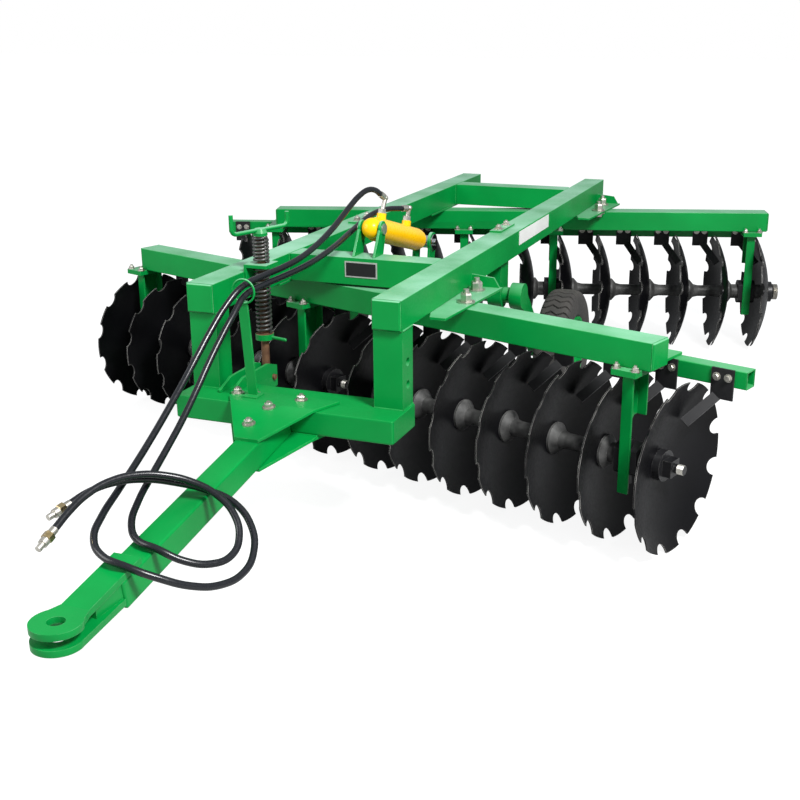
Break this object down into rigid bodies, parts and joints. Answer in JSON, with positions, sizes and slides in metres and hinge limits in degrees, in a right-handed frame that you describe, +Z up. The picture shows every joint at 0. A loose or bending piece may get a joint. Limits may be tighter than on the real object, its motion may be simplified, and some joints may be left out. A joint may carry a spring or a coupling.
{
  "type": "trailed offset disc harrow",
  "caption": "Trailed offset disc harrow: ladder frame, two angled gangs of notched dished discs, drawbar with levelling screw, and hydraulic lift wheels.",
  "frame": {"origin": "on the ground under the middle of the harrow without its hoses", "axes": "+X to the right seen from the rear, +Y to the rear, away from the hitch, +Z up"},
  "size_m": [3.4644, 5.1936, 1.2254],
  "materials": {
    "green_paint": "gloss green enamel",
    "disc_steel": "black paint, worn bright at the rims",
    "cast_black": "black painted castings",
    "black_bolt": "black painted steel",
    "tyre": "matt dark grey",
    "hose_rubber": "satin black rubber",
    "zinc": "zinc plated",
    "chrome": "hard chrome",
    "yellow_paint": "gloss yellow enamel",
    "rusty_steel": "rusty brown steel",
    "spring_steel": "dark spring steel"
  },
  "bodies": {
    "frame": {"left_beam": "green_paint", "right_beam": "green_paint", "front_cross_beam": "green_paint", "rear_cross_beam": "green_paint", "front_posts": "green_paint", "draft_beam": "green_paint", "draft_plates": "green_paint", "drawbar": "green_paint", "hitch_plates": "green_paint", "nose_block": "green_paint", "front_gang_beam": "green_paint", "rear_gang_beam": "green_paint", "front_gang_brackets": "green_paint", "rear_gang_brackets": "green_paint", "front_hangers": "green_paint", "rear_hangers": "green_paint", "front_bearings": "cast_black", "rear_bearings": "cast_black", "front_scraper_bar": "green_paint", "rear_scraper_bar": "green_paint", "front_scrapers": "cast_black", "rear_scrapers": "cast_black", "levelling_screw": "rusty_steel", "levelling_springs": "spring_steel", "levelling_crank": "green_paint", "screw_bracket": "green_paint", "screw_arms": "green_paint", "hose_stand": "green_paint", "cylinder_ears": "green_paint", "base_pin": "zinc", "shaft_hangers": "green_paint", "hose_near": "hose_rubber", "hose_far": "hose_rubber", "couplers": "zinc"},
    "front_right_gang": {"front_right_discs": "disc_steel", "front_right_spools": "cast_black", "front_right_bolt": "black_bolt"},
    "front_left_gang": {"front_left_discs": "disc_steel", "front_left_spools": "cast_black", "front_left_bolt": "black_bolt"},
    "rear_right_gang": {"rear_right_discs": "disc_steel", "rear_right_spools": "cast_black", "rear_right_bolt": "black_bolt"},
    "rear_left_gang": {"rear_left_discs": "disc_steel", "rear_left_spools": "cast_black", "rear_left_bolt": "black_bolt"},
    "lift": {"lift_shaft": "green_paint", "lift_lever": "green_paint", "wheel_arms": "green_paint"},
    "left_wheel": {"left_rim": "green_paint", "left_tyre": "tyre"},
    "right_wheel": {"right_rim": "green_paint", "right_tyre": "tyre"},
    "barrel": {"cylinder_barrel": "yellow_paint", "port_fittings": "zinc"},
    "rod": {"cylinder_rod": "chrome"}
  },
  "joints": [
    {"name": "front_right_gang_spin", "type": "hinge", "parent": "frame", "child": "front_right_gang", "pos_m": [0.02985, -0.28712, 0.33], "axis": [0.9521, -0.3057, 0], "continuous": true},
    {"name": "front_left_gang_spin", "type": "hinge", "parent": "frame", "child": "front_left_gang", "pos_m": [0.02985, -0.28712, 0.33], "axis": [0.9521, -0.3057, 0], "continuous": true},
    {"name": "rear_right_gang_spin", "type": "hinge", "parent": "frame", "child": "rear_right_gang", "pos_m": [0.02985, 1.87088, 0.33], "axis": [0.9603, 0.279, 0], "continuous": true},
    {"name": "rear_left_gang_spin", "type": "hinge", "parent": "frame", "child": "rear_left_gang", "pos_m": [0.02985, 1.87088, 0.33], "axis": [0.9603, 0.279, 0], "continuous": true},
    {"name": "lift", "type": "hinge", "parent": "frame", "child": "lift", "pos_m": [0.02985, 0.40088, 0.65], "axis": [-1, 0, 0], "range_deg": [-12, 22]},
    {"name": "left_wheel_spin", "type": "hinge", "parent": "lift", "child": "left_wheel", "pos_m": [-0.61015, 0.75088, 0.305], "axis": [1, 0, 0], "continuous": true},
    {"name": "right_wheel_spin", "type": "hinge", "parent": "lift", "child": "right_wheel", "pos_m": [0.66985, 0.75088, 0.305], "axis": [1, 0, 0], "continuous": true},
    {"name": "barrel_rock", "type": "hinge", "parent": "frame", "child": "barrel", "pos_m": [0.03985, -0.20912, 1.05], "axis": [-1, 0, 0], "range_deg": [-0.3, 0.5]},
    {"name": "rod_slide", "type": "slide", "parent": "barrel", "child": "rod", "axis": [0, 0.9652, -0.2613], "range_m": [-0.048, 0.087]}
  ],
  "couplings": [
    {"joint": "barrel_rock", "follows": "lift", "ratio": 0.02},
    {"joint": "rod_slide", "follows": "lift", "m_per_rad": 0.223}
  ]
}
